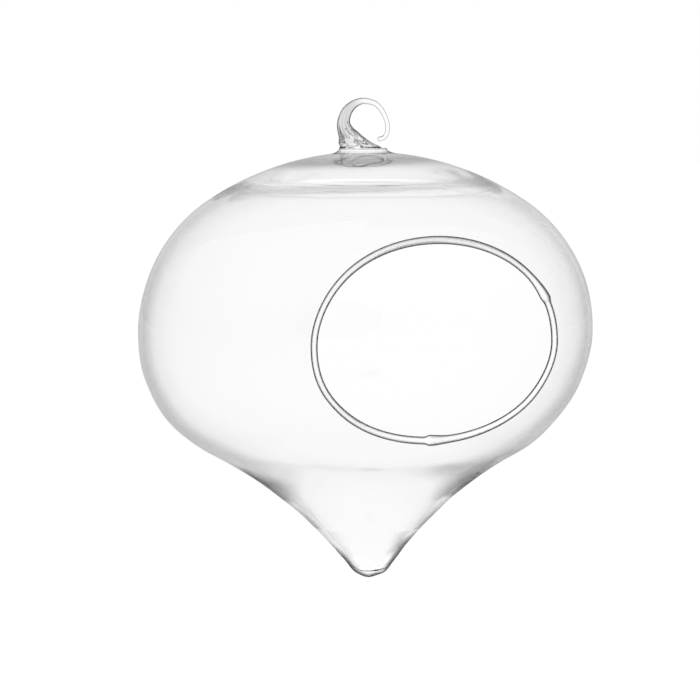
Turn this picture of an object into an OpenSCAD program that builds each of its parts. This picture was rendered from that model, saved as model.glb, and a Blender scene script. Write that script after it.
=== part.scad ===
// Hanging ball vase of clear glass: a blown bulb with a wide mouth in its front, a bead of melted
// glass round the mouth, a solid drop that seals the point below, and a bent glass hook that
// stands on a flared pad on the crown.
// Sizes are millimetres. The vase hangs from the origin, which is the top of the hook's eye.
// The mouth faces -Y, the hook's loop lies in the XZ plane, and +Z is up.

/* [Bulb] */
// Widest diameter, at the belly
bulb_d = 120.4; // [100:0.2:150]
// Radius of the outline over the crown
crown_r = 75; // [68:1:79]
// Radius of the outline between belly and crown
shoulder_r = 41.4; // [34:0.2:44]
// Radius of the outline just under the belly
lower_r = 36.8; // [30:0.2:44]
// Radius of the hollow curve that draws the bulb in to its point
waist_r = 106; // [80:1:150]
// Depth of the point below the belly
tip_drop = 66.1; // [58:0.1:80]
// Radius of the rounded point
tip_r = 6.4; // [5:0.1:8]

/* [Glass] */
// Thickness of the blown wall
wall = 0.9; // [0.8:0.1:1.4]
// How far the hollow's ceiling, under thick glass, lies below the top of the shoulder's inner arc
ceiling_drop = 0.45; // [0.3:0.05:3]
// Radius of the hollow's nearly flat ceiling
ceiling_r = 300; // [200:10:400]
// Radius of the round between the ceiling and the wall
corner_r = 12; // [9:0.5:15]
// Thickness of solid glass between the hollow and the point
tip_solid = 2.5; // [2:0.1:3.4]
// Thickness of the bulb's own glass above the drop that seals it
tip_skin = 0.8; // [0.6:0.1:1.1]
// Radius of the hollow's lowest end
hollow_end_r = 6; // [5.2:0.1:6.4]

/* [Mouth] */
// Width of the mouth, to the middle of its bead
mouth_w = 64.2; // [54:0.2:78]
// Thickness of the bead
bead_d = 1.7; // [1.5:0.1:2.4]
// How far the bead's middle stands in front of the cut edge
bead_lift = 0.4; // [0.2:0.1:0.6]
// How much the bead swells where its melted ends lap
lap_rise = 0.3; // [0:0.1:0.6]
// Half length of a swelling along the bead
lap_w = 3.2; // [2:0.2:6]

/* [Hook pad] */
// Height of the pad's top above the crown
pad_h = 0.9; // [0.6:0.1:1.6]
// Radius of the pad's flat top
pad_r = 6.4; // [6.3:0.1:8]
// Radius of the hollow flare round the pad
flare_r = 3.2; // [2.6:0.1:4]
// Thickness of the flare's outer edge
flare_edge = 0.25; // [0.2:0.05:0.4]
// Distance of the pad from the bulb's axis, to the left
pad_shift = 1; // [0:0.1:1.5]

/* [Hook] */
// Depth of the pad's top below the top of the eye
eye_drop = 11.9; // [11.4:0.1:14]
// Width of the loop's oval, to the middle of its rod
loop_w = 12.8; // [11.6:0.1:13.6]
// Height of the loop's oval, to the middle of its rod
loop_h = 13.5; // [12.4:0.1:14]
// Angle that the loop turns through before its end curls in
loop_turn = 190; // [176:1:200]
// Radius of the curl at the free end
curl_r = 2.9; // [2.4:0.1:3.6]
// Angle that the curl turns through
curl_turn = 70; // [50:1:76]
// Thickness of the rod where it leaves the gather
root_d = 3.5; // [2.9:0.1:4]
// Thickness of the rod at its free end
end_d = 1.4; // [1.2:0.1:1.8]
// Width of the gather that stands on the pad
gather_w = 12.4; // [10:0.1:12.6]
// Depth of the gather from front to back
gather_d = 9; // [7:0.1:10.6]

/* [Hidden] */
$fn = 128;
// Sides of the crown's ball, which is large for the pad that it is cut from
crown_fn = 400;

glass = [0.86, 0.89, 0.88, 0.4];
// Turns the seam of the bulb's round surfaces to the back, away from the mouth
seam_turn = 270;
// How far a cut runs past the solid that it cuts
overrun = 1;
// How fast the rod thins along its turn, and the gather narrows and flattens as it rises
rod_power = 5.2;
gather_w_power = 1.4;
gather_d_power = 2.2;
// Where the bead's laps lie round the mouth, anticlockwise from its right-hand side
lap_turns = [21, 271];
// Sides and rings of the bead
bead_sides = 12;
bead_rings = 90;
// Sides of the rod, and rings along the gather, the loop, the curl and the rounded end
rod_sides = 20;
gather_rings = 12;
loop_rings = 32;
curl_rings = 10;
end_rings = 4;
// Angle over which the free end rounds off
end_turn = 75;

// The third side of a right triangle
function leg(long_side, short_side) = sqrt(long_side * long_side - short_side * short_side);
// A length to the nearest thousandth, for edges that two shapes share
function fine(length) = round(length * 1000) / 1000;
// A value between two others, and an even start and stop between 0 and 1
function mix(from, to, share) = from + (to - from) * share;
function ease(share) = share * share * (3 - 2 * share);
// The point at distance r1 from p1 and r2 from p2, to the left of the way from p1 to p2
function meet(p1, r1, p2, r2) =
    let (d = norm(p2 - p1), along = (r1 * r1 - r2 * r2 + d * d) / (2 * d), way = (p2 - p1) / d)
    p1 + along * way + leg(r1, along) * [-way[1], way[0]];
// Centre's height of the arc across the axis that joins two side arcs without a corner, where
// the side arcs' centres are spread from the axis
function cap_centre(spread, side_r, cap_r) = -leg(cap_r - side_r, spread);
// Puts a shape in its place in a coarse and a fine step, which keeps every digit of the place
module put(place) {
    coarse = [for (length = place) fine(length)];
    translate(coarse)
        translate(place - coarse)
            children();
}

// Centres of the shoulder's and the lower belly's arcs, out from the axis
belly_r = bulb_d / 2;
shoulder_x = belly_r - shoulder_r;
lower_x = belly_r - lower_r;
crown_rise = crown_r + cap_centre(shoulder_x, shoulder_r, crown_r);
seal_h = tip_solid - tip_skin;

// The rod's radius at a share of its whole turn, which sets the loop's centre under the eye
whole_turn = loop_turn + curl_turn;
function rod_r(share) = mix(end_d / 2, root_d / 2, pow(1 - share, rod_power));
top_share = 90 / whole_turn;
loop_z = rod_r(top_share) - loop_h / 2;

// Heights of the pad's top, the crown and the belly
pad_top_z = -eye_drop;
crown_z = pad_top_z - pad_h;
belly_z = crown_z - crown_rise;

// The mouth: a flat cut across the front, with the bead along the middle of the cut wall
mouth_reach = leg(belly_r - wall / 2, mouth_w / 2);
mouth_cut = mouth_reach - bead_lift;
mouth_up = leg(shoulder_r - wall / 2, mouth_reach - shoulder_x);
mouth_down = leg(lower_r - wall / 2, mouth_reach - lower_x);

// Half the outline of the outer or the inner skin is drawn in bands that share edges, measured
// from the belly. This is the band across the axis that ends the outline above a height.
module top_band(cap, cap_r, low) {
    intersection() {
        put(cap)
            circle(cap_r);
        translate([0, low])
            square(belly_r);
    }
}

// A band that ends in an arc, with the space between its circle and the axis
module side_band(centre, r, low, high) {
    intersection() {
        union() {
            put(centre)
                circle(r);
            translate([0, low])
                square([centre[0], high - low]);
        }
        translate([0, low])
            square([bulb_d, high - low]);
    }
}

// The bands below a height: shoulder, lower belly, hollow waist and rounded end
module lower_bands(high, shoulder, lower, waist, end_r, drop) {
    side = [lower_x, 0];
    end = [0, end_r - drop];
    hollow = meet(side, waist + lower, end, waist + end_r);
    waist_top = fine(hollow[1] * lower / (waist + lower));
    waist_low = fine(mix(end[1], hollow[1], end_r / (waist + end_r)));
    side_band([shoulder_x, 0], shoulder, 0, high);
    side_band(side, lower, waist_top, 0);
    // Hollow waist
    difference() {
        translate([0, waist_low])
            square([fine(hollow[0] * lower / (waist + lower)) + lower_x, waist_top - waist_low]);
        put(hollow)
            circle(waist);
    }
    // Rounded end
    intersection() {
        put(end)
            circle(end_r);
        translate([0, waist_low - belly_r])
            square(belly_r);
    }
}

module outer_skin() {
    cap = [0, crown_rise - crown_r];
    cap_low = fine(cap[1] - cap[1] * crown_r / (crown_r - shoulder_r));
    top_band(cap, crown_r, cap_low);
    lower_bands(cap_low, shoulder_r, lower_r, waist_r, tip_r, tip_drop);
}

// The hollow has a nearly flat ceiling well under the crown, and ends well above the point
module inner_skin() {
    shoulder = shoulder_r - wall;
    cap = [0, shoulder - ceiling_drop - ceiling_r];
    corner = meet([shoulder_x, 0], shoulder - corner_r, cap, ceiling_r - corner_r);
    corner_high = fine(mix(cap[1], corner[1], ceiling_r / (ceiling_r - corner_r)));
    corner_low = fine(corner[1] * shoulder / (shoulder - corner_r));
    top_band(cap, ceiling_r, corner_high);
    side_band(corner, corner_r, corner_low, corner_high);
    lower_bands(corner_low, shoulder, lower_r - wall, waist_r + wall, hollow_end_r, tip_drop - tip_solid);
}

// The lowest part of the outline, which is the drop that seals the point
module seal_zone() {
    translate([0, -tip_drop - overrun])
        square([belly_r, seal_h + overrun]);
}

module bulb() {
    color(glass)
        difference() {
            put([0, 0, belly_z])
                rotate([0, 0, seam_turn])
                    rotate_extrude()
                        difference() {
                            outer_skin();
                            inner_skin();
                            seal_zone();
                        }
            // Mouth
            put([-belly_r, -mouth_cut - belly_r, belly_z - belly_r])
                cube([bulb_d, belly_r, bulb_d]);
        }
}

module tip_seal() {
    color(glass)
        put([0, 0, belly_z])
            rotate_extrude()
                intersection() {
                    outer_skin();
                    seal_zone();
                }
}

// Where the middle of the cut wall runs round the mouth, from the belly's level, and the way
// that faces out of the mouth there
function mouth_point(turn) =
    let (up = turn < 180,
        z = (up ? mouth_up : mouth_down) * sin(turn),
        level = leg((up ? shoulder_r : lower_r) - wall / 2, z),
        reach = (up ? shoulder_x : lower_x) + level,
        x = sign(cos(turn)) * leg(max(reach, mouth_reach), mouth_reach),
        out = [x, reach * z / level])
    [[x, z], out / norm(out)];
// The bead swells where its melted ends lap
function lap(turn, at) = exp(-pow((turn - at) * PI / 180 * mouth_w / 2 / lap_w, 2));
function bead_r(turn) = bead_d / 2 + lap_rise * max([for (at = lap_turns) lap(turn, at)]);
// A section of the bead, cut flat where it sits on the wall's cut edge
function bead_ring(turn) =
    let (point = mouth_point(turn), r = bead_r(turn), seat = asin(bead_lift / r))
    [for (i = [0:bead_sides])
        let (a = mix(-seat, 180 + seat, i / bead_sides), out = point[0] + r * cos(a) * point[1])
        [out[0], -mouth_reach - r * sin(a), out[1] + belly_z]];

module mouth_bead() {
    points = [for (j = [0:bead_rings - 1]) each bead_ring(360 * j / bead_rings)];
    side = bead_sides + 1;
    skin = [
        for (j = [0:bead_rings - 1], i = [0:bead_sides])
            let (a = j * side, b = (j + 1) % bead_rings * side, next = (i + 1) % side)
            each [[a + i, a + next, b + next], [a + i, b + next, b + i]]
    ];
    color(glass)
        polyhedron(points, skin);
}

module hook_pad() {
    corner = [pad_r, pad_top_z];
    crown_centre = [0, crown_z - crown_r];
    edge_r = crown_r + flare_edge;
    flare = meet(corner, flare_r, crown_centre, edge_r + flare_r);
    foot_r = flare[0] * edge_r / (edge_r + flare_r);
    color(glass)
        difference() {
            translate([-pad_shift, 0, 0])
                rotate_extrude()
                    difference() {
                        translate([0, crown_z - flare_r])
                            square([foot_r, pad_h + flare_r]);
                        translate(flare)
                            circle(flare_r);
                    }
            // The crown that the pad is melted onto
            translate([0, 0, crown_z - crown_r])
                sphere(crown_r, $fn = crown_fn);
        }
}

// A ring of the hook: its middle, the way its width runs, its half width and its half depth
function ring(middle, across, half_w, half_d) =
    [for (i = [0:rod_sides - 1])
        let (a = i * 360 / rod_sides)
        middle + half_w * cos(a) * across + half_d * sin(a) * [0, 1, 0]];
// A way in the loop's plane
function way(angle) = [cos(angle), 0, sin(angle)];

// The gather rises from the pad and narrows, with its left side nearly upright
function gather_ring(share) =
    let (half_w = mix(root_d, gather_w, pow(1 - share, gather_w_power)) / 2,
        half_d = mix(root_d, gather_d, pow(1 - share, gather_d_power)) / 2,
        left = mix(-pad_shift - gather_w / 2, -(loop_w + root_d) / 2, ease(share)))
    ring([left + half_w, 0, mix(pad_top_z, loop_z, share)], way(180), half_w, half_d);

// The rod goes over the loop and into the curl, and thins as it turns
function oval(turn) = [-loop_w * cos(turn) / 2, 0, loop_z + loop_h * sin(turn) / 2];
function rod_middle(turn) =
    turn <= loop_turn
    ? oval(turn)
    : oval(loop_turn) - curl_r * way(180 - loop_turn) + curl_r * way(180 - turn);
function rod_ring(turn) =
    let (r = rod_r(turn / whole_turn))
    ring(rod_middle(turn), way(180 - turn), r, r);

// The free end rounds off beyond the last ring
function end_ring(a) =
    let (r = end_d / 2)
    ring(rod_middle(whole_turn) + r * sin(a) * way(90 - whole_turn), way(180 - whole_turn),
        r * cos(a), r * cos(a));

module hook() {
    rings = [
        for (i = [0:gather_rings - 1]) gather_ring(i / gather_rings),
        for (i = [0:loop_rings]) rod_ring(loop_turn * i / loop_rings),
        for (i = [1:curl_rings]) rod_ring(loop_turn + curl_turn * i / curl_rings),
        for (i = [1:end_rings]) end_ring(end_turn * i / end_rings)
    ];
    last = len(rings) - 1;
    skin = [
        for (j = [0:last - 1], i = [0:rod_sides - 1])
            let (a = j * rod_sides + i, b = j * rod_sides + (i + 1) % rod_sides)
            each [[a, b, b + rod_sides], [a, b + rod_sides, a + rod_sides]]
    ];
    base = [for (i = [1:rod_sides]) rod_sides - i];
    tip = [for (i = [0:rod_sides - 1]) last * rod_sides + i];
    color(glass)
        polyhedron([for (r = rings) each r], concat(skin, [base, tip]));
}

bulb();
mouth_bead();
tip_seal();
hook_pad();
hook();
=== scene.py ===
# %% [markdown]
# # A hanging ball vase of clear glass
#
# The real vase is one blown bulb with four small gathers of hot glass melted onto it: a bead round its
# mouth, a drop at its point, a pad on its crown and a bent hook on the pad. Clear glass has no colour of
# its own to paint, so nearly everything that the eye sees is shape: how the skins bend what lies behind
# them, and how they mirror the studio at their edges. This lesson therefore models both skins of the
# bulb, keeps the melted joins free of false surfaces, and gives the glass a plain studio to mirror.

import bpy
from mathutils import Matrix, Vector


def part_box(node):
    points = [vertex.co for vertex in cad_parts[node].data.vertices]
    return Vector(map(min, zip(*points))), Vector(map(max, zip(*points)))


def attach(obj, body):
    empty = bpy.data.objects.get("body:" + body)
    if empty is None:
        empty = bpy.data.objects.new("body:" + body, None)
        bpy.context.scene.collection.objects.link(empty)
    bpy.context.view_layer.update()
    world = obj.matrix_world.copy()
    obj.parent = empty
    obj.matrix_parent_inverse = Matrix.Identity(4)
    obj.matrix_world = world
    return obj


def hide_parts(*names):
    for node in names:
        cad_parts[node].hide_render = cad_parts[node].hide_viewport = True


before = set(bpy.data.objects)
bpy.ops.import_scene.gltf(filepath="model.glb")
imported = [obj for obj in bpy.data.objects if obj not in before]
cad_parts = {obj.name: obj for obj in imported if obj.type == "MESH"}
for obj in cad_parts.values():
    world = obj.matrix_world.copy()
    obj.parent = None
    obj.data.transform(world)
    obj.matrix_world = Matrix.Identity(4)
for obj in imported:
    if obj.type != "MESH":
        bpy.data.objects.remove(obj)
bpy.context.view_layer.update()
print("CAD nodes:", ", ".join(sorted(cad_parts)))

# %% [markdown]
# The frame is in metres, and a glassblower thinks in millimetres. One named unit keeps the sizes
# readable. Where a size can be read off the CAD nodes' boxes it is read from there, so that the pieces
# made here always fit the frame.

# %% Units and the places that the frame gives
import math

import bmesh
import bpy
from mathutils import Vector, noise

MM = 0.001
HAIR = 1e-7  # metres: points closer than this count as one
belly_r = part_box("bulb")[1].x
crown_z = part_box("bulb")[1].z
seal_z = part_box("tip_seal")[1].z
tip_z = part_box("tip_seal")[0].z
mouth_cut = -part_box("bulb")[0].y
pad_top_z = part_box("hook_pad")[1].z
print(f"belly radius {belly_r / MM:.1f} mm, crown {crown_z / MM:.1f}, point {tip_z / MM:.1f}")

# %% [markdown]
# ## The bulb's outline
#
# The bulb's outline is five arcs that run into each other without a corner: a flat crown, a rounder
# shoulder, a rounder lower belly, a hollow waist that draws in to the point, and the point's own small
# round. Two arcs meet smoothly when the meeting point lies on the line through both centres, so only
# the radii are free, and each centre follows from its neighbours. A spline through points read off the
# photograph would be quicker to type, but its curvature wobbles, and glass shows every wobble.

# %% Driving dimensions of the bulb
CROWN_R = 75 * MM
SHOULDER_R = 41.4 * MM
LOWER_R = 36.8 * MM
WAIST_R = 106 * MM
TIP_R = 6.4 * MM
WALL = 0.9 * MM
# The hollow has a nearly flat ceiling under the thick crown, and ends above the solid point
CEILING_R = 300 * MM
CEILING_DROP = 0.45 * MM
CORNER_R = 12 * MM
TIP_SOLID = 2.5 * MM
HOLLOW_END_R = 6 * MM

shoulder_x = belly_r - SHOULDER_R
lower_x = belly_r - LOWER_R


def leg(long_side, short_side):
    """The third side of a right triangle."""
    return math.sqrt(long_side**2 - short_side**2)


def cap_centre(side_r, cap_r):
    """Height of the crown arc's centre over the belly. It sits on the bulb's axis."""
    return -leg(cap_r - side_r, shoulder_x)


belly_z = crown_z - CROWN_R - cap_centre(SHOULDER_R, CROWN_R)
tip_drop = belly_z - tip_z
print(f"the belly is {(crown_z - belly_z) / MM:.2f} mm below the crown")
print(f"the belly is {tip_drop / MM:.2f} mm above the point")

# %% [markdown]
# An outline is kept as a list of arcs, each with its centre, radius, first angle and last angle. The same
# function draws the outer and the inner skin. The inner one has smaller shoulder radii by the wall, ends
# higher because the point is solid glass, and has six arcs: where the crown is thick, its nearly flat
# ceiling meets the shoulder in a round corner.

# %% Arcs of one skin
def meet(p1, r1, p2, r2):
    """The point at distance r1 from p1 and r2 from p2, to the left of the way from p1 to p2."""
    way = (p2 - p1).normalized()
    along = (r1**2 - r2**2 + (p2 - p1).length_squared) / (2 * (p2 - p1).length)
    return p1 + along * way + leg(r1, along) * Vector((-way.y, way.x))


def angle_to(a, b):
    """Angle of the way from a to b."""
    return math.atan2(b.y - a.y, b.x - a.x)


def skin_arcs(cap_r, shoulder, lower, waist, end_r, drop, ceiling=None, corner_r=0.0):
    """Arcs from the top of the crown to the lowest point, measured from the belly."""
    high = Vector((shoulder_x, 0))
    low = Vector((lower_x, 0))
    end = Vector((0, end_r - drop))
    hollow = meet(low, waist + lower, end, waist + end_r)
    if ceiling is None:
        cap = Vector((0, cap_centre(shoulder, cap_r)))
        top = [(cap, cap_r, math.pi / 2, angle_to(cap, high)),
               (high, shoulder, angle_to(cap, high), 0)]
    else:
        cap = Vector((0, ceiling - cap_r))
        corner = meet(high, shoulder - corner_r, cap, cap_r - corner_r)
        top = [(cap, cap_r, math.pi / 2, angle_to(cap, corner)),
               (corner, corner_r, angle_to(cap, corner), angle_to(high, corner)),
               (high, shoulder, angle_to(high, corner), 0)]
    return top + [
        (low, lower, 0, angle_to(low, hollow)),
        (hollow, waist, angle_to(hollow, low), angle_to(hollow, end)),
        (end, end_r, angle_to(end, hollow), -math.pi / 2),
    ]


OUTER = skin_arcs(CROWN_R, SHOULDER_R, LOWER_R, WAIST_R, TIP_R, tip_drop)
CEILING = SHOULDER_R - WALL - CEILING_DROP
INNER = skin_arcs(CEILING_R, SHOULDER_R - WALL, LOWER_R - WALL, WAIST_R + WALL, HOLLOW_END_R,
                  tip_drop - TIP_SOLID, CEILING, CORNER_R)
print("outer arcs' radii in mm:", [round(arc[1] / MM, 1) for arc in OUTER])

# %% Points along a skin
STEP = 1.3 * MM
FEWEST_STEPS = 6


def outline(arcs, step=STEP):
    """Points (out, up) along the arcs, a step apart or closer where the arc is tight."""
    points = []
    for centre, radius, first, last in arcs:
        count = max(FEWEST_STEPS, round(abs(last - first) * radius / step))
        start = 1 if points else 0
        for i in range(start, count + 1):
            a = first + (last - first) * i / count
            points.append(centre + radius * Vector((math.cos(a), math.sin(a))))
    points[0].x = points[-1].x = 0
    return points


def cut_below(points, height):
    """The part of an outline above a height, ending exactly there."""
    kept = [p for p in points if p.y > height + HAIR]
    after = points[len(kept)]
    share = (kept[-1].y - height) / (kept[-1].y - after.y)
    return kept + [kept[-1].lerp(after, share)]


outer_line = cut_below(outline(OUTER), seal_z - belly_z)
inner_line = outline(INNER)
seal_r = outer_line[-1].x
print(len(outer_line), "rings outside and", len(inner_line), "inside")
print("the seal's radius is", round(seal_r / MM, 2), "mm")

# %% [markdown]
# ## The hand-blown lean
#
# A bulb that is turned by hand hangs a little out of true. Seen in the photograph, this one drifts about
# a millimetre to the left under its belly and back to the right at its point. Its front has sagged as
# well, where the mouth was cut and melted last: the mouth hangs about half a millimetre low and to the
# left, and is a little flatter than a true cut. Smooth functions of the height and of the way to the
# front give both, and every piece goes through them, so that what is melted together stays so.

# %% The lean
LEAN_WAY = Vector((0.934, -0.358, 0))
# Each station: mm above the belly, and mm of drift along LEAN_WAY
LEAN = [(14, 0.3), (0, 0), (-14, -0.6), (-24, -1.1), (-31, -0.75), (-43, 0), (-50, 0.6), (-66, 1.2)]
LEAN_AT_POINT = LEAN[-1][1]
# Each station: mm in front of the axis, and mm down, share of height lost, or mm across
MOUTH_SAG = [(50, -0.6), (44, -0.5), (30, 0)]
MOUTH_FLATTER = [(50, 0.004), (44, 0.0035), (30, 0)]
MOUTH_DRIFT = [(50, -0.5), (44, -0.45), (30, 0)]


def ease(share):
    """A way from 0 to 1 that starts and stops evenly."""
    return share * share * (3 - 2 * share)


def smooth_between(stations, at):
    """A value between stations (place, value), of which the highest place comes first."""
    if at >= stations[0][0]:
        return stations[0][1]
    for (a, from_value), (b, to_value) in zip(stations, stations[1:]):
        if at >= b:
            return from_value + (to_value - from_value) * ease((at - a) / (b - a))
    return stations[-1][1]


def lean(point):
    """Moves a point by the drift at its height and by the mouth's sag at its way to the front."""
    forward = -point.y / MM
    up = (point.z - belly_z) / MM
    sag = smooth_between(MOUTH_SAG, forward) - up * smooth_between(MOUTH_FLATTER, forward)
    mouth = Vector((smooth_between(MOUTH_DRIFT, forward), 0, sag))
    return point + (LEAN_WAY * smooth_between(LEAN, up) + mouth) * MM


print("drift at the point:", LEAN_AT_POINT, "mm")

# %% [markdown]
# ## Meshes from rings
#
# All five pieces are rings of points joined by four-sided faces. One small builder makes them: it takes
# rings, closes them to tubes, fills the ends with fans, and marks which faces lie inside melted glass.
# Those marked faces close each piece as a solid, yet have no surface in the real vase, so they get a
# material that lets light straight through.

# %% Ring builder
SIDES = 192
SKIN, MELTED = 0, 1


def round_ring(radius, height, middle_x=0.0, sides=SIDES):
    """Points of a level circle, anticlockwise from above."""
    return [Vector((middle_x + radius * math.cos(2 * math.pi * i / sides),
                    radius * math.sin(2 * math.pi * i / sides), height)) for i in range(sides)]


def add_ring(bm, points, moved=Vector):
    """Adds a ring of vertices, each point moved by a function first if one is given."""
    return [bm.verts.new(moved(p)) for p in points]


def bridge(bm, a, b, material=SKIN):
    """Joins two closed rings of vertices with faces."""
    count = len(a)
    for i in range(count):
        j = (i + 1) % count
        face = bm.faces.new((a[i], b[i], b[j], a[j]))
        face.material_index = material


def tube(bm, rings, material=SKIN):
    """Joins each ring to the next."""
    for a, b in zip(rings, rings[1:]):
        bridge(bm, a, b, material)


def fan(bm, ring, middle, material=SKIN):
    """Closes a ring with triangles to a middle vertex."""
    for i in range(len(ring)):
        face = bm.faces.new((ring[i], middle, ring[(i + 1) % len(ring)]))
        face.material_index = material


print("rings have", SIDES, "sides")

# %% [markdown]
# Each finished mesh is leaned, shaded smooth and handed to the frame. The edge where a skin meets a join
# stays sharp, because smooth shading across it would bend the skin's reflections inwards.

# %% From mesh to piece
def finish_piece(bm, name, materials, node):
    """Leans the mesh, turns it into an object, and hands it to the frame in place of its CAD node."""
    bmesh.ops.recalc_face_normals(bm, faces=bm.faces[:])
    for edge in bm.edges:
        edge.smooth = len({face.material_index == MELTED for face in edge.link_faces}) == 1
    for vertex in bm.verts:
        vertex.co = lean(vertex.co)
    mesh = bpy.data.meshes.new(name)
    bm.to_mesh(mesh)
    bm.free()
    for face in mesh.polygons:
        face.use_smooth = True
    for material in materials:
        mesh.materials.append(material)
    piece = bpy.data.objects.new(name, mesh)
    bpy.context.scene.collection.objects.link(piece)
    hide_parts(node)
    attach(piece, "root")
    print(f"{name}: {len(mesh.polygons)} faces")
    return piece


print("pieces lean along", [round(v, 2) for v in LEAN_WAY])

# %% [markdown]
# ## The lumps at the point
#
# The flame that sealed the point left it a little lumpy, and the lumps run from the drop into the end of
# the bulb. A bump in the material wouldn't show on the outline, so the vertices themselves move, by a
# slow noise that fades out upwards. Bulb and drop go through the same function, so their shared ring
# stays shared. Nothing goes below the point, because the vase has to stay inside the frame's box. The
# vector noise takes its seed from the clock unless one is set, and then every run gives other lumps.

# %% The lumps
LUMP = 0.32 * MM
LUMP_SIZE = 3.4 * MM
LUMPS_START = 10 * MM
LUMPS_FULL = 2.5 * MM
LUMP_SEED = 3
noise.seed_set(LUMP_SEED)


def lumpy(point):
    """Moves a point by a slow noise that grows towards the point of the vase."""
    fade = min(1.0, max(0.0, (tip_z + LUMPS_START - point.z) / (LUMPS_START - LUMPS_FULL)))
    moved = point + noise.noise_vector(point / LUMP_SIZE) * LUMP * fade
    moved.z = max(moved.z, tip_z)
    return moved


print("lumps start", LUMPS_START / MM, "mm above the point")

# %% [markdown]
# ## Shader maths
#
# Node trees are easier to read as sums. The small class below wraps one socket, so that a + b, a * b and
# 1 - a add Math nodes, and one method adds any other node by its type, its settings and its inputs.

# %% A socket that can do sums
class Wire:
    """A socket of a node tree, with sums that add Math nodes."""

    def __init__(self, tree, socket):
        self.tree = tree
        self.socket = socket

    def put(self, target, value):
        """Links or sets one input."""
        if isinstance(value, Wire):
            self.tree.links.new(value.socket, target)
        else:
            target.default_value = value

    def node(self, kind, settings=None, inputs=None, output=0):
        """Adds a node of a type, sets it up, feeds its inputs, and returns one of its outputs."""
        made = self.tree.nodes.new(kind)
        for key, value in (settings or {}).items():
            if key == "stops":
                ramp = made.color_ramp
                while len(ramp.elements) < len(value):
                    ramp.elements.new(0.5)
                for stop, (place, colour) in zip(ramp.elements, value):
                    stop.position = place
                    stop.color = colour
            else:
                setattr(made, key, value)
        for key, value in (inputs or {}).items():
            self.put(made.inputs[key], value)
        return Wire(self.tree, made.outputs[output]) if made.outputs else None

    def out(self, name):
        """Another output of the same node."""
        return Wire(self.tree, self.socket.node.outputs[name])

    def maths(self, operation, a, b):
        """A Math node."""
        return self.node("ShaderNodeMath", {"operation": operation}, {0: a, 1: b})

    def __add__(self, other):
        return self.maths("ADD", self, other)

    __radd__ = __add__

    def __sub__(self, other):
        return self.maths("SUBTRACT", self, other)

    def __rsub__(self, other):
        return self.maths("SUBTRACT", other, self)

    def __mul__(self, other):
        return self.maths("MULTIPLY", self, other)

    __rmul__ = __mul__

    def __lt__(self, other):
        return self.maths("LESS_THAN", self, other)


# A Mix node numbers its sockets: these are the factor, the two colours and the mixed colour
FACTOR, COLOUR_A, COLOUR_B, MIXED = 0, 6, 7, 2


def new_tree(owner):
    """Empties a node tree and returns a wire to build from."""
    owner.use_nodes = True
    owner.node_tree.nodes.clear()
    return Wire(owner.node_tree, None)


def ramp(build, tones, value):
    """A colour ramp over a value."""
    return build.node("ShaderNodeValToRGB", {"stops": tones}, {"Fac": value})


print("shader sums ready")

# %% [markdown]
# ## The tones of clear glass
#
# Plain soda glass is nearly colourless, with a breath of green where the eye looks along the wall
# instead of through it. Volume absorption would give that green, but it needs every join to be watertight
# for each ray. Ramps over a Layer Weight, from facing to grazing, are simpler. They give the green and,
# far more, painted shade that darkens the glass towards its outline, where real glass bends and mirrors
# the grey studio. A ramp is written as pairs of a place and a level of grey, and one function adds the green.

# %% Ramps of glass
RED_LOSS = 0.015
BLUE_LOSS = 0.02


def grey(level):
    """A colour without a tint."""
    return (level, level, level, 1.0)


def stops(*pairs):
    """Ramp stops from (place, level), slightly green as they darken."""
    return [(place, (level * (1 - RED_LOSS * (1 - level)), level, level * (1 - BLUE_LOSS * (1 - level)), 1.0))
            for place, level in pairs]


def heights(*pairs):
    """Ramp stops from (height in mm, level), for the span from the point to the crown."""
    return stops(*[((mm * MM - tip_z) / (crown_z - tip_z), level) for mm, level in pairs])


PLAIN = stops((0.0, 1.0), (1.0, 1.0))
NO_RIM = stops((0.0, 0.0), (1.0, 0.0))
print("half dark glass is", [round(v, 3) for v in stops((0.0, 0.5))[0][1]])

# %% [markdown]
# ## Worked glass
#
# The glass is a Principled shader that lets light through, with three additions.
#
# Its colour is two ramps multiplied: one from facing to grazing, which is painted edge shade with a slight
# green, and one by place along an axis, painted shade for zones where thicker glass looks darker. The
# second one counts only at grazing angles, so it darkens the outline's edges and leaves no painted band on
# glass that is seen square on.
#
# The edges of clear glass mirror the dark room behind the camera, as a thin dark line. A studio with a
# dark side would darken the middle of the bulb too, so a dark diffuse shader is mixed in by angle and by
# place instead. A slow noise shifts its places a little, because no hand-made line is quite even.
#
# A ray can be mirrored to and fro in solid glass until the render gives it up and leaves a black speck.
# After MOST_MIRRORS mirrorings the glass therefore lets it go straight out. Hand-blown glass also has
# slow waves in its skin, which a faint, large-scaled bump gives.

# %% The glass material
GLASS_IOR = 1.47
MOST_MIRRORS = 8.5
WAVE_DEPTH = 0.1 * MM
WAVE_DETAIL = 1.0
WAVE_ROUGHNESS = 0.4
EVEN_BLEND = 0.5
RIM_LEVEL = 0.03
RIM_DRIFT = 14 * MM
RIM_DRIFT_DETAIL = 2.0
RIM_WANDER = 0.12
GRAZING = (0.15, 0.42)
ALWAYS = (-1.0, 0.0)


def lit_glass(build, colour, bump):
    """Clear glass that lets go of rays which are trapped in it."""
    glass = build.node("ShaderNodeBsdfPrincipled", None, {
        "Base Color": colour, "Roughness": 0.0, "IOR": GLASS_IOR, "Transmission Weight": 1.0,
        "Normal": bump})
    trapped = 1 - (build.node("ShaderNodeLightPath").out("Glossy Depth") < MOST_MIRRORS)
    leak = build.node("ShaderNodeBsdfTransparent", None, {"Color": grey(1.0)})
    return build.node("ShaderNodeMixShader", None, {0: trapped, 1: glass, 2: leak})


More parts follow.
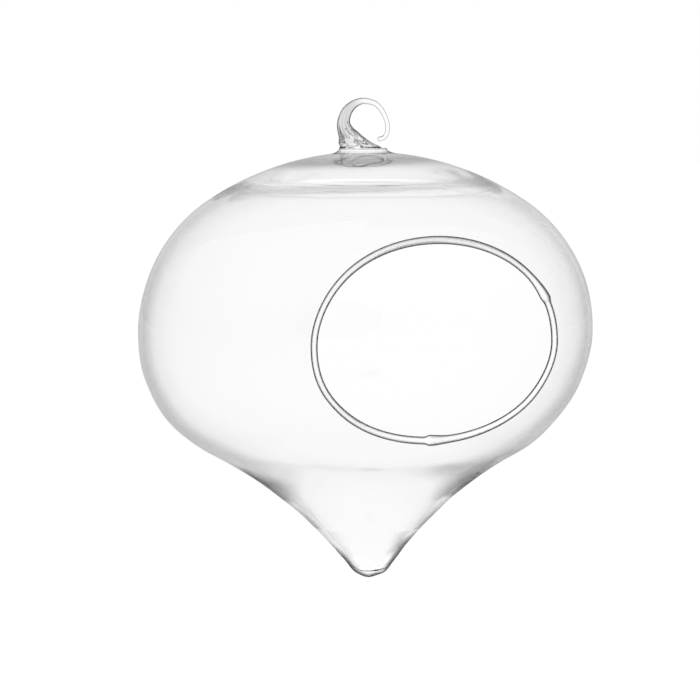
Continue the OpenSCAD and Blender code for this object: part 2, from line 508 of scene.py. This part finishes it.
def glass_material(name, tones, waves, places=PLAIN, rim=NO_RIM, rim_places=PLAIN, axis="Z", span=None,
                   tilt=0.0, graze=GRAZING):
    """Glass with waves (mm, strength), painted shade by angle and by place along an axis, and a painted dark
    rim.
    """
    low, high = span or (tip_z, crown_z)
    wave_mm, wave_strength = waves
    material = bpy.data.materials.new(name)
    build = new_tree(material)
    at = build.node("ShaderNodeTexCoord", None, None, "Object")
    swell = build.node("ShaderNodeTexNoise", None, {
        "Vector": at, "Scale": 1 / (wave_mm * MM), "Detail": WAVE_DETAIL, "Roughness": WAVE_ROUGHNESS}, "Fac")
    bump = build.node("ShaderNodeBump", None, {
        "Strength": wave_strength, "Distance": WAVE_DEPTH, "Height": swell}, "Normal")
    facing = build.node("ShaderNodeLayerWeight", None, {"Blend": EVEN_BLEND, "Normal": bump}, "Facing")
    parts = build.node("ShaderNodeSeparateXYZ", None, {"Vector": at})
    place = (parts.out(axis) - parts.out("X") * tilt - low) * (1 / (high - low))
    grazing = build.node("ShaderNodeMapRange", None, {
        "Value": facing, "From Min": graze[0], "From Max": graze[1]})
    # Base Color: painted shade, darker towards grazing angles and on chosen places, with a slight green
    colour = build.node("ShaderNodeMix", {"data_type": "RGBA", "blend_type": "MULTIPLY"}, {
        FACTOR: grazing, COLOUR_A: ramp(build, tones, facing), COLOUR_B: ramp(build, places, place)}, MIXED)
    drift = build.node("ShaderNodeTexNoise", None, {
        "Vector": at, "Scale": 1 / RIM_DRIFT, "Detail": RIM_DRIFT_DETAIL}, "Fac")
    rim_share = ramp(build, rim_places, place + (drift - 0.5) * RIM_WANDER)
    # A dark diffuse shader mixed in at the edges: a painted reflection of the dark room behind the camera
    dark = build.node("ShaderNodeBsdfDiffuse", None, {"Color": grey(RIM_LEVEL)})
    both = build.node("ShaderNodeMixShader", None, {
        0: ramp(build, rim, facing) * rim_share, 1: lit_glass(build, colour, bump), 2: dark})
    build.node("ShaderNodeOutputMaterial", None, {"Surface": both})
    return material


print("glass bends light by", GLASS_IOR)

# %% The inside of a melted join
def join_material():
    """Lets light straight through: a face inside melted glass has no surface."""
    material = bpy.data.materials.new("melted_join")
    build = new_tree(material)
    shader = build.node("ShaderNodeBsdfPrincipled", None, {
        "Base Color": grey(1.0), "Alpha": 0.0, "IOR": GLASS_IOR, "Transmission Weight": 1.0})
    build.node("ShaderNodeOutputMaterial", None, {"Surface": shader})
    return material


melted = join_material()
print("join material:", melted.name)

# %% [markdown]
# ## The bulb's glass
#
# The bulb needs four skins. The outer one has painted shade by height: dark over the top of the crown, where
# the glass is thick, with a grey band where the thick glass ends. It has a painted dark reflection round the
# waist, where the outline turns, and a fainter one at the grey band. The real zones lie a little askew, so
# their height is tilted across the bulb. Near the point the skin is lumpy and its painted dark rim stronger.
# The inner skin has no painted rim of its own, or each edge would be drawn twice, and the ceiling under the
# crown is plain, because the outer skin's painted shade covers that glass already.

# %% The bulb's skins
# Painted edge shade with a slight green: the wall darkens from facing to grazing
WALL_EDGE_SHADE_AND_TINT = stops((0.17, 0.978), (0.31, 0.965), (0.49, 0.945), (0.57, 0.9), (0.68, 0.83), (0.75, 0.7),
                   (0.81, 0.64), (0.91, 0.56))
# Painted shade by height: the dark crown and the grey band where its thick glass ends
BULB_PAINTED_SHADE_HEIGHTS = heights((-22.6, 1.0), (-22.3, 0.58), (-20.8, 0.58), (-19.9, 0.9), (-19.0, 1.0),
                       (-16.9, 1.0), (-15.4, 0.22), (-14.4, 0.25), (-13.3, 0.6))
# Painted dark reflection: how much dark diffuse shows, by angle and by height
BULB_RIM = stops((0.62, 0.0), (0.68, 0.35), (0.76, 0.75), (0.85, 1.0))
BULB_RIM_HEIGHTS = heights((-112, 0.55), (-109, 0.35), (-104.5, 0.2), (-102.5, 0.65), (-99.5, 0.8),
                           (-95.5, 0.48), (-92.5, 0.25), (-80, 0.25), (-60, 0.16), (-45, 0.08),
                           (-35, 0.0), (-23, 0.0), (-22.3, 0.35), (-19.5, 0.3), (-18, 0.0))
ZONE_TILT = 0.033
SLOW_WAVES = (22, 0.10)
# Painted dark reflection near the point, by angle and by height
POINT_RIM = stops((0.42, 0.0), (0.52, 0.45), (0.62, 0.85), (0.75, 1.0))
POINT_RIM_HEIGHTS = heights((-121, 0.9), (-118, 0.8), (-115.5, 0.5), (-113.5, 0.15))
POINT_WAVES = (4, 0.2)

outer_skin = glass_material("bulb_outside", WALL_EDGE_SHADE_AND_TINT, SLOW_WAVES, BULB_PAINTED_SHADE_HEIGHTS, BULB_RIM,
                            BULB_RIM_HEIGHTS, tilt=ZONE_TILT)
point_skin = glass_material("bulb_point_outside", WALL_EDGE_SHADE_AND_TINT, POINT_WAVES, rim=POINT_RIM,
                            rim_places=POINT_RIM_HEIGHTS)
inner_skin = glass_material("bulb_inside", WALL_EDGE_SHADE_AND_TINT, SLOW_WAVES)
ceiling_skin = glass_material("bulb_ceiling", PLAIN, SLOW_WAVES)
print("the bulb's skins:", outer_skin.name, point_skin.name, inner_skin.name, ceiling_skin.name)

# %% [markdown]
# ## The pad's foot on the crown
#
# The pad sits a millimetre to the left of the bulb's axis. The crown's rings therefore start as circles
# round the pad and turn into circles round the axis further out, always on the crown's own ball, so that
# the pad's foot and the bulb share one edge.

# %% Sizes of the pad, and rings on the crown
PAD_SHIFT = 1 * MM
PAD_TOP_R = 6.3 * MM
PAD_FOOT_R = 8.6 * MM
EVEN_R = 20 * MM
UNDER_PAD = (0.25, 0.5, 0.75)  # rings under the pad, as shares of its foot's radius
crown_centre_z = crown_z - CROWN_R


def on_crown(point):
    """The point straight above or below on the crown's ball."""
    reach = math.hypot(point.x, point.y)
    return Vector((point.x, point.y, crown_centre_z + leg(CROWN_R, reach)))


def crown_ring(radius):
    """A ring on the crown, round the pad near it and round the axis from EVEN_R outwards."""
    share = min(1.0, max(0.0, (radius - PAD_FOOT_R) / (EVEN_R - PAD_FOOT_R)))
    middle = -PAD_SHIFT * (1 - ease(share))
    return [on_crown(p) for p in round_ring(radius, 0, middle)]


print("pad foot radius", PAD_FOOT_R / MM, "mm")

# %% [markdown]
# ## The bulb
#
# Outer skin, inner skin, and the flat cut of the mouth. The skins are turned first, then a cutting plane
# takes the front off, and the two cut loops are joined by a narrow melted band that the bead covers.
# Boolean tools would do the cut as well, but they leave long thin faces that show as scratches in glass.

# %% The cut of the mouth
def loops_of(edges):
    """Splits boundary edges into closed loops of vertices."""
    left = set(edges)
    loops = []
    while left:
        edge = left.pop()
        loop = [edge.verts[0], edge.verts[1]]
        while True:
            following = [e for e in loop[-1].link_edges if e in left]
            if not following:
                break
            left.discard(following[0])
            loop.append(following[0].other_vert(loop[-1]))
        loops.append(loop[:-1])
    return loops


def turn_round_mouth(vertex):
    """The vertex's angle round the mouth, seen from the front."""
    return math.atan2(vertex.co.z - belly_z, vertex.co.x)


def join_loops(bm, a, b):
    """Joins two loops of vertices, sorted by their angle, with triangles."""
    i = j = 0
    while i < len(a) or j < len(b):
        next_a = turn_round_mouth(a[i + 1]) if i + 1 < len(a) else math.pi + i
        next_b = turn_round_mouth(b[j + 1]) if j + 1 < len(b) else math.pi + j
        if j >= len(b) or (i < len(a) and next_a <= next_b):
            corners = (a[i % len(a)], a[(i + 1) % len(a)], b[j % len(b)])
            i += 1
        else:
            corners = (a[i % len(a)], b[(j + 1) % len(b)], b[j % len(b)])
            j += 1
        bm.faces.new(corners).material_index = MELTED


def cut_mouth(bm):
    """Takes the front off at the mouth's plane and joins the two cut loops."""
    everything = bm.verts[:] + bm.edges[:] + bm.faces[:]
    plane = Vector((0, -mouth_cut, 0))
    bmesh.ops.bisect_plane(bm, geom=everything, dist=HAIR, plane_co=plane, plane_no=(0, -1, 0),
                           clear_outer=True)
    loops = loops_of([e for e in bm.edges if e.is_boundary])
    print("cut loops:", [len(loop) for loop in loops])
    outside, inside = [sorted(loop, key=turn_round_mouth) for loop in loops]
    join_loops(bm, outside, inside)


print("the mouth is cut", round(mouth_cut / MM, 1), "mm in front of the axis")

# %% Make the bulb
INSIDE, CEILING_FACE, POINT_FACE = 2, 3, 4
POINT_H = 13.5 * MM
CEILING_EDGE = 1.2 * MM


def turn_outside(bm):
    """The outer skin, from the pad's foot over the crown and the belly to the seal."""
    near = [PAD_FOOT_R]
    while near[-1] + STEP < EVEN_R:
        near.append(near[-1] + STEP)
    top = bm.verts.new(on_crown(Vector((-PAD_SHIFT, 0, 0))))
    under_pad = [add_ring(bm, crown_ring(PAD_FOOT_R * share)) for share in UNDER_PAD + (1.0,)]
    fan(bm, under_pad[0], top, MELTED)
    tube(bm, under_pad, MELTED)
    rings = [under_pad[-1]] + [add_ring(bm, crown_ring(r)) for r in near[1:]]
    rings += [add_ring(bm, round_ring(p.x, belly_z + p.y), lumpy)
              for p in outer_line if p.x > EVEN_R or p.y < 0]
    for a, b in zip(rings, rings[1:]):
        bridge(bm, a, b, POINT_FACE if a[0].co.z < tip_z + POINT_H else SKIN)
    fan(bm, rings[-1], bm.verts.new(lumpy(Vector((0, 0, seal_z)))), MELTED)


def turn_inside(bm):
    """The inner skin, from the ceiling to the end of the hollow."""
    rings = [add_ring(bm, round_ring(p.x, belly_z + p.y)) for p in inner_line if p.x > 0]
    for a, b in zip(rings, rings[1:]):
        flat = b[0].co.z - belly_z > CEILING - CEILING_EDGE
        bridge(bm, a, b, CEILING_FACE if flat else INSIDE)
    fan(bm, rings[0], bm.verts.new((0, 0, belly_z + inner_line[0].y)), CEILING_FACE)
    fan(bm, rings[-1], bm.verts.new((0, 0, belly_z + inner_line[-1].y)), INSIDE)


def make_bulb():
    """Both skins, with the mouth cut out of them."""
    bm = bmesh.new()
    turn_outside(bm)
    turn_inside(bm)
    cut_mouth(bm)
    skins = [outer_skin, melted, inner_skin, ceiling_skin, point_skin]
    return finish_piece(bm, "glass_bulb", skins, "bulb")


bulb = make_bulb()

# %% [markdown]
# ## The bead round the mouth
#
# Where the bulb was cut, a flame melted the sharp edge into a round bead. In the cut's plane the wall's
# outer and inner edges are two ovals. At each angle the bead is an arc through one point of either oval,
# bulging forwards, so it grows out of both skins without a seam. Where the melting began and ended the
# bead is thicker, and there are two such laps. At the mouth's top and bottom the glass gathered most, and
# there the bead is wider towards the middle of the mouth.

# %% Sizes of the bead
BEAD_LIFT = 0.3 * MM
BEAD_RINGS = 360
BEAD_SIDES = 20
LAP_TURNS = (19, 268.5)
LAP_LIFT = 0.15 * MM
LAP_WIDER = 0.4
LAP_LENGTH = 4.5 * MM
LAP_START = 0.9 * MM
UPRIGHT_WIDER = 0.38
MOUTH_MIDDLE = 0.8 * MM
MOUTH_REACH = (20 * MM, 45 * MM)
HALVINGS = 40
outer_fine = outline(OUTER, STEP / 8)
inner_fine = outline(INNER, STEP / 8)
print("bead sections:", BEAD_RINGS)

# %% [markdown]
# The two ovals have no simple formula, because the wall isn't a ball. The place of each point is found by
# halving: if the middle between a point in the mouth and a point in the wall is still in the mouth, the
# search goes on in the outer half, and otherwise in the inner half.

# %% Edges and laps of the mouth
def reach_at(line, height):
    """The outline's distance from the axis at a height above the belly."""
    for above, below in zip(line, line[1:]):
        if above.y >= height >= below.y:
            share = (above.y - height) / max(above.y - below.y, HAIR**2)
            return above.x + (below.x - above.x) * share
    return 0.0


def rim_point(line, turn):
    """Where the cut wall's edge lies at an angle round the mouth, by halving the way out."""
    near, far = MOUTH_REACH
    for _ in range(HALVINGS):
        middle = (near + far) / 2
        x = middle * math.cos(turn)
        z = MOUTH_MIDDLE + middle * math.sin(turn)
        if reach_at(line, z) ** 2 > mouth_cut**2 + x**2:
            near = middle
        else:
            far = middle
    return Vector((near * math.cos(turn), -mouth_cut, belly_z + MOUTH_MIDDLE + near * math.sin(turn)))


def lap_share(turn, reach):
    """How near a lap's middle this angle is, from 0 to 1. A lap starts short and runs out long."""
    shares = []
    for lap in LAP_TURNS:
        apart = (turn - math.radians(lap) + math.pi) % (2 * math.pi) - math.pi
        length = LAP_LENGTH if apart > 0 else LAP_START
        shares.append(math.exp(-((apart * reach / length) ** 2)))
    return max(shares)


print("the mouth's right edge is", round(rim_point(outer_fine, 0.0).x / MM, 1), "mm from the axis")

# %% Make the bead
# Painted edge shade, and a painted dark reflection along the bead's edges
BEAD_TONES = stops((0.3, 1.0), (0.6, 0.9), (0.9, 0.6))
BEAD_RIM = stops((0.05, 0.0), (0.14, 0.3), (0.26, 0.8), (0.5, 0.95))
BEAD_WAVES = (6, 0.05)
bead_glass = glass_material("bead_glass_worked", BEAD_TONES, BEAD_WAVES, rim=BEAD_RIM)


def bead_section(turn):
    """Points of the bead's arc from the outer edge forwards to the inner edge."""
    outside, inside = rim_point(outer_fine, turn), rim_point(inner_fine, turn)
    middle = (outside + inside) / 2
    half = (outside - inside).length / 2
    away = (outside - inside).normalized()
    lap = lap_share(turn, belly_r / 2)
    lift = BEAD_LIFT + LAP_LIFT * lap
    upright = UPRIGHT_WIDER * math.sin(turn) ** 2
    wider = 1 + LAP_WIDER * lap + upright
    radius = math.hypot(half, lift)
    middle -= away * radius * upright
    seat = math.asin(lift / radius)
    front = Vector((0, -1, 0))
    points = []
    for i in range(BEAD_SIDES + 1):
        a = -seat + (math.pi + 2 * seat) * i / BEAD_SIDES
        points.append(middle + front * (lift + radius * math.sin(a)) + away * radius * wider * math.cos(a))
    return points


def make_bead():
    """The arcs joined all round, with a melted back towards the wall."""
    bm = bmesh.new()
    rings = [add_ring(bm, bead_section(2 * math.pi * j / BEAD_RINGS)) for j in range(BEAD_RINGS)]
    for j, ring in enumerate(rings):
        after = rings[(j + 1) % BEAD_RINGS]
        for i in range(BEAD_SIDES):
            bm.faces.new((ring[i], ring[i + 1], after[i + 1], after[i]))
        back = bm.faces.new((ring[-1], ring[0], after[0], after[-1]))
        back.material_index = MELTED
    return finish_piece(bm, "mouth_bead_glass", [bead_glass, melted], "mouth_bead")


bead = make_bead()

# %% [markdown]
# ## The drop that seals the point
#
# The blown tube was drawn off below and the end melted shut, which leaves a small solid drop. It carries
# the waist's arc on and rounds off, with the same lumps as the end of the bulb. Its painted dark rim, a
# painted reflection, is weighted across it, because the real dark edge is weaker in the middle than at its
# sides.

# %% Make the drop
# Painted edge shade, and a painted dark reflection weighted across the drop
DROP_TONES = stops((0.3, 1.0), (0.6, 0.8), (0.9, 0.4))
DROP_RIM = stops((0.28, 0.0), (0.42, 0.5), (0.6, 0.9), (0.8, 1.0))
DROP_RIM_PLACES = stops((0.0, 1.0), (0.4, 0.75), (0.65, 1.0))
DROP_SPAN = (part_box("tip_seal")[0].x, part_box("tip_seal")[1].x)
DROP_WAVES = (3, 0.3)
drop_glass = glass_material("drop_glass", DROP_TONES, DROP_WAVES, rim=DROP_RIM,
                            rim_places=DROP_RIM_PLACES, axis="X", span=DROP_SPAN)


def make_drop():
    """The last rings of the outer skin, closed at the seal above and at the point below."""
    bm = bmesh.new()
    line = [p for p in outline(OUTER, STEP / 2) if p.y < seal_z - belly_z - 10 * HAIR and p.x > 0]
    rings = [add_ring(bm, round_ring(seal_r, seal_z), lumpy)]
    rings += [add_ring(bm, round_ring(p.x, belly_z + p.y), lumpy) for p in line]
    tube(bm, rings)
    fan(bm, rings[0], bm.verts.new(lumpy(Vector((0, 0, seal_z)))), MELTED)
    fan(bm, rings[-1], bm.verts.new(lumpy(Vector((0, 0, tip_z + LUMP)))))
    return finish_piece(bm, "tip_drop_glass", [drop_glass, melted], "tip_seal")


drop = make_drop()

# %% [markdown]
# ## The pad under the hook
#
# A gather of hot glass was set on the crown and drawn up. Its foot runs out thinly over the crown in a
# hollow curve, which a quarter turn of a sine gives. The thin foot stays clear, and the top has painted
# shade.

# %% Make the pad
# Painted edge shade, a painted dark reflection at the pad's edges, and painted shade over its top
PAD_TONES = stops((0.3, 1.0), (0.5, 0.95), (0.7, 0.8), (0.9, 0.5))
PAD_RIM = stops((0.6, 0.0), (0.75, 0.3), (0.9, 0.8))
PAD_SPAN = (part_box("hook_pad")[0].z, pad_top_z)
PAD_PAINTED_SHADE_PLACES = stops((0.0, 1.0), (0.7, 1.0), (0.85, 0.35), (1.0, 0.3))
PAD_WAVES = (4, 0.15)
PAD_RINGS = 14
pad_glass = glass_material("pad_glass_worked", PAD_TONES, PAD_WAVES, PAD_PAINTED_SHADE_PLACES, PAD_RIM, span=PAD_SPAN)


def pad_profile(share):
    """Radius of the flare and its share of the way up from the crown, from foot to top."""
    turn = share * math.pi / 2
    return PAD_TOP_R + (PAD_FOOT_R - PAD_TOP_R) * (1 - math.sin(turn)), 1 - math.cos(turn)


def pad_ring(share):
    """A ring of the flare, from the crown's own curve at the foot to level at the top."""
    radius, up = pad_profile(share)
    ring = []
    for p in round_ring(radius, 0, -PAD_SHIFT):
        foot = on_crown(p)
        ring.append(Vector((p.x, p.y, foot.z + (pad_top_z - foot.z) * up)))
    return ring


def make_pad():
    """The flare, closed by a level top and by an underside that lies on the crown."""
    bm = bmesh.new()
    rings = [add_ring(bm, pad_ring(i / PAD_RINGS)) for i in range(PAD_RINGS + 1)]
    tube(bm, rings)
    fan(bm, rings[-1], bm.verts.new((-PAD_SHIFT, 0, pad_top_z)), MELTED)
    under = [rings[0]]
    for share in reversed(UNDER_PAD):
        under.append(add_ring(bm, [on_crown(p) for p in round_ring(PAD_FOOT_R * share, 0, -PAD_SHIFT)]))
    tube(bm, under, MELTED)
    fan(bm, under[-1], bm.verts.new(on_crown(Vector((-PAD_SHIFT, 0, 0)))), MELTED)
    return finish_piece(bm, "hook_pad_glass", [pad_glass, melted], "hook_pad")


pad = make_pad()

# %% [markdown]
# ## The hook
#
# The hook was drawn from one hot gather: a tent-shaped body on the pad that thins into a round rod, bends
# over to the right and ends in a small curl. Its middle line and thickness are a few measured stations,
# with a smooth curve through them. A tapered and bent cylinder would be quicker to make, but its foot
# couldn't spread to one side as the gather does.

# %% Stations of the hook
# Each station: across and up in mm from the top of the eye, half width and half depth in mm
HOOK = [
    (-1.6, -11.9, 5.75, 4.60),
    (-2.1, -11.25, 5.25, 4.20),
    (-3.0, -10.6, 4.60, 3.80),
    (-3.8, -9.6, 3.70, 3.10),
    (-4.6, -8.6, 3.00, 2.65),
    (-5.7, -7.4, 2.20, 2.10),
    (-6.35, -6.2, 1.80, 1.80),
    (-6.45, -4.7, 1.55, 1.60),
    (-5.95, -3.0, 1.42, 1.45),
    (-5.1, -1.6, 1.30, 1.30),
    (-3.4, -0.2, 1.05, 1.05),
    (-1.0, 0.55, 0.84, 0.84),
    (2.2, -0.05, 0.72, 0.72),
    (4.2, -1.75, 0.66, 0.66),
    (5.6, -4.4, 0.62, 0.62),
    (6.0, -6.6, 0.60, 0.60),
    (5.75, -8.1, 0.60, 0.60),
    (4.95, -9.1, 0.62, 0.62),
    (3.8, -9.5, 0.64, 0.64),
]
HOOK_STEPS = 12


def curve_through(stations, steps):
    """Catmull-Rom curve through the stations, with its end tangents along the end pieces."""
    first = [2 * a - b for a, b in zip(stations[0], stations[1])]
    last = [2 * a - b for a, b in zip(stations[-1], stations[-2])]
    padded = [first] + [list(s) for s in stations] + [last]
    made = []
    for k in range(1, len(padded) - 2):
        p0, p1, p2, p3 = padded[k - 1:k + 3]
        for i in range(steps):
            t = i / steps
            made.append([0.5 * (2 * b + (c - a) * t + (2 * a - 5 * b + 4 * c - d) * t * t
                                + (3 * b - a - 3 * c + d) * t**3) for a, b, c, d in zip(p0, p1, p2, p3)])
    made.append(list(stations[-1]))
    return made


hook_path = curve_through(HOOK, HOOK_STEPS)
hook_middles = [Vector((x * MM, 0, z * MM)) for x, z, _, _ in hook_path]
print("hook stations:", len(HOOK), "and rings:", len(hook_path))

# %% [markdown]
# Near the pad the rings lie level, so that the gather stands flat on it, and further up they turn until
# they stand across the rod. Shallow folds run up the gather and fade out in the rod: they are what the
# light breaks up in, as the streaks in the photograph show. Its lowest rings take the bead's glass, whose
# painted shade and painted dark reflection draw the line where the gather meets the pad.

# %% Rings of the hook
HOOK_SIDES = 64
LEVEL_UNTIL = 4
LEVEL_FADE = 3
FOLDS = 7
FOLD_SHARE = 0.09
FOLD_TURN = 1
FOLDS_UNTIL = 11
END_RINGS = 8


def level_share(station):
    """1 where the rings lie level, and 0 where they stand across the rod."""
    return min(1.0, max(0.0, (LEVEL_UNTIL + LEVEL_FADE - station) / LEVEL_FADE))


def fold_depth(station):
    """Depth of the folds, as a share of the radius: most half way to the station FOLDS_UNTIL."""
    return FOLD_SHARE * math.sin(math.pi * min(1.0, station / FOLDS_UNTIL))


def rod_ring(k):
    """The folded oval at one place of the path."""
    station = k / HOOK_STEPS
    _, _, half_w, half_d = hook_path[k]
    ahead = hook_middles[min(k + 1, len(hook_path) - 1)] - hook_middles[max(k - 1, 0)]
    ahead = ahead.normalized().lerp(Vector((0, 0, 1)), level_share(station)).normalized()
    across = Vector((ahead.z, 0, -ahead.x))
    ring = []
    for i in range(HOOK_SIDES):
        a = 2 * math.pi * i / HOOK_SIDES
        fold = 1 + fold_depth(station) * math.cos(FOLDS * a + FOLD_TURN)
        ring.append(hook_middles[k] + across * half_w * MM * fold * math.cos(a)
                    + Vector((0, half_d * MM * fold * math.sin(a), 0)))
    return ring


print("folds up the gather:", FOLDS)

# %% Make the hook
# Painted edge shade at every angle, painted shade on the gather, and a painted dark reflection along the rod
ROD_TONES = stops((0.1, 1.0), (0.25, 0.72), (0.4, 0.4), (0.6, 0.25), (0.9, 0.2))
ROD_RIM = stops((0.3, 0.0), (0.5, 0.4), (0.8, 0.7))
HOOK_SPAN = (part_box("hook")[0].x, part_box("hook")[1].x)
HOOK_PAINTED_SHADE_PLACES = stops((0.0, 0.85), (0.15, 0.7), (0.3, 0.75), (0.5, 1.0))
HOOK_RIM_PLACES = stops((0.0, 0.35), (0.1, 0.4), (0.18, 1.0), (0.38, 1.0), (0.55, 0.4), (0.85, 0.15),
                        (1.0, 0.3))
ROD_WAVES = (6, 0.10)
# The lowest rings take the bead's glass, for painted shade along the line where the gather meets the pad
FOOT_FACE = 2
FOOT_RINGS = 8
rod_glass = glass_material("worked_glass", ROD_TONES, ROD_WAVES, HOOK_PAINTED_SHADE_PLACES, ROD_RIM, HOOK_RIM_PLACES,
                           axis="X", span=HOOK_SPAN, graze=ALWAYS)


def make_hook():
    """The gather and the rod as one tube, with a melted foot and a rounded end."""
    bm = bmesh.new()
    rings = [rod_ring(k) for k in range(len(hook_path))]
    end = hook_middles[-1]
    ahead = (end - hook_middles[-2]).normalized()
    end_r = HOOK[-1][2] * MM
    last = rings[-1]
    for i in range(1, END_RINGS):
        a = math.pi / 2 * i / END_RINGS
        rings.append([end + (p - end) * math.cos(a) + ahead * end_r * math.sin(a) for p in last])
    made = [add_ring(bm, ring) for ring in rings]
    for k, (a, b) in enumerate(zip(made, made[1:])):
        bridge(bm, a, b, FOOT_FACE if k < FOOT_RINGS else SKIN)
    fan(bm, made[0], bm.verts.new(hook_middles[0]), MELTED)
    fan(bm, made[-1], bm.verts.new(end + ahead * end_r))
    return finish_piece(bm, "hook_glass_rod", [rod_glass, melted, bead_glass], "hook")


hook = make_hook()

# %% [markdown]
# ## The studio
#
# Glass is lit by what it mirrors. The photograph is a white-ground studio shot: pure white behind the
# vase, a softer grey round about, and a wide light overhead. The world is that studio. A ray that comes
# straight through the glass sees the white ground, and one that was mirrored sees the studio. A ray that
# the glass let go after MOST_MIRRORS mirrorings sees the white ground too, as most of its light would.

# %% The world
# The studio's greys, from straight below (0) over level (0.5) to straight overhead (1)
STUDIO = [(0.0, grey(0.75)), (0.5, grey(0.5)), (0.7, grey(0.6)), (1.0, grey(0.8))]


def straight_share(build):
    """1 for what the camera sees straight or through glass, and 0 for what mirrors and lights see."""
    path = build.node("ShaderNodeLightPath")
    trapped = 1 - (path.out("Glossy Depth") < MOST_MIRRORS)
    through = path.out("Is Transmission Ray") + path.out("Is Glossy Ray") * trapped
    return path.out("Is Camera Ray") + through * (path.out("Diffuse Depth") < 0.5)


def make_world():
    """White ground for the straight rays, and the studio's greys for the others."""
    world = bpy.data.worlds.new("studio")
    bpy.context.scene.world = world
    build = new_tree(world)
    way = build.node("ShaderNodeTexCoord", None, None, "Generated")
    up = build.node("ShaderNodeSeparateXYZ", None, {"Vector": way}, "Z")
    studio = ramp(build, STUDIO, up * 0.5 + 0.5)
    seen = build.node("ShaderNodeMix", {"data_type": "RGBA"}, {
        FACTOR: straight_share(build), COLOUR_A: studio, COLOUR_B: grey(1.0)}, MIXED)
    light = build.node("ShaderNodeBackground", None, {"Color": seen, "Strength": 1.0})
    build.node("ShaderNodeOutputWorld", None, {"Surface": light})


make_world()
print("studio greys:", [colour[0] for _, colour in STUDIO])

# %% [markdown]
# The vase hangs over a plain white table. The table has to look as white as the ground behind it, so to
# the camera, and through the glass, it gives a little light of its own; it still takes the vase's shadow.

# %% The table
FLOOR_DROP = 400 * MM
FLOOR_SIZE = 60
FLOOR_PAINT = 0.9
FLOOR_GLOW = 0.4


def floor_material():
    """White paint with a glow that only straight rays see."""
    material = bpy.data.materials.new("white_table")
    build = new_tree(material)
    paint = build.node("ShaderNodeBsdfDiffuse", None, {"Color": grey(FLOOR_PAINT)})
    glow = build.node("ShaderNodeEmission", None, {
        "Color": grey(1.0), "Strength": straight_share(build) * FLOOR_GLOW})
    both = build.node("ShaderNodeAddShader", None, {0: paint, 1: glow})
    build.node("ShaderNodeOutputMaterial", None, {"Surface": both})
    return material


def make_floor():
    """One wide level face under the vase."""
    bm = bmesh.new()
    half = FLOOR_SIZE / 2
    height = tip_z - FLOOR_DROP
    corners = ((-half, -half), (half, -half), (half, half), (-half, half))
    bm.faces.new([bm.verts.new((x, y, height)) for x, y in corners])
    mesh = bpy.data.meshes.new("table")
    bm.to_mesh(mesh)
    bm.free()
    mesh.materials.append(floor_material())
    table = bpy.data.objects.new("table", mesh)
    bpy.context.scene.collection.objects.link(table)


make_floor()
print("table", FLOOR_DROP / MM, "mm under the point")

# %% [markdown]
# One soft lamp overhead gives the table its shadow. The glass doesn't mirror it, because a clean white
# square in the crown would look like a sticker.

# %% The lamp
LAMP_SIZE = (0.6, 0.4)
LAMP_WATTS = 3
LAMP_PLACE = (0, 0.1, 0.8)


def make_lamp():
    """A wide area light that only lights, and isn't seen itself."""
    light = bpy.data.lights.new("overhead_softbox", "AREA")
    light.shape = "RECTANGLE"
    light.size, light.size_y = LAMP_SIZE
    light.energy = LAMP_WATTS
    lamp = bpy.data.objects.new("overhead_softbox", light)
    lamp.location = LAMP_PLACE
    lamp.visible_camera = False
    lamp.visible_glossy = False
    lamp.visible_transmission = False
    bpy.context.scene.collection.objects.link(lamp)


make_lamp()
print("lamp hung", LAMP_PLACE[2], "m up")

# %% [markdown]
# ## The camera
#
# The camera looks at the vase from a little above the belly's level and from 21 degrees to the left of
# the mouth, 0.9 m away through a long lens, as the mouth's oval and the outline tell. Light has to pass
# many skins before it comes out of solid glass, so the rays may turn often.

# %% Camera
VIEW_TURN = math.radians(-21)
VIEW_RISE = math.radians(4)
VIEW_DISTANCE = 900 * MM
VIEW_TARGET = Vector((-3.8 * MM, 1.45 * MM, -65.4 * MM))
FOCAL_PIXELS = 3390
FRAME_PIXELS = 700
SENSOR_MM = 36
NEAREST, FARTHEST = 0.01, 200
MOST_TURNS = 64
MOST_CLEAR = 32


def make_camera():
    """A camera turned round the vase by the two angles."""
    data = bpy.data.cameras.new("camera")
    data.sensor_width = SENSOR_MM
    data.lens = SENSOR_MM * FOCAL_PIXELS / FRAME_PIXELS
    data.clip_start, data.clip_end = NEAREST, FARTHEST
    camera = bpy.data.objects.new("camera", data)
    back = Vector((math.sin(VIEW_TURN) * math.cos(VIEW_RISE), -math.cos(VIEW_TURN) * math.cos(VIEW_RISE),
                   math.sin(VIEW_RISE)))
    camera.location = VIEW_TARGET + back * VIEW_DISTANCE
    camera.rotation_mode = "QUATERNION"
    camera.rotation_quaternion = (-back).to_track_quat("-Z", "Y")
    bpy.context.scene.collection.objects.link(camera)
    bpy.context.scene.camera = camera


make_camera()
scene = bpy.context.scene
scene.view_settings.view_transform = "Standard"
scene.cycles.max_bounces = MOST_TURNS
scene.cycles.transmission_bounces = MOST_TURNS
scene.cycles.glossy_bounces = MOST_TURNS
scene.cycles.transparent_max_bounces = MOST_CLEAR
print("camera set", VIEW_DISTANCE, "m away")
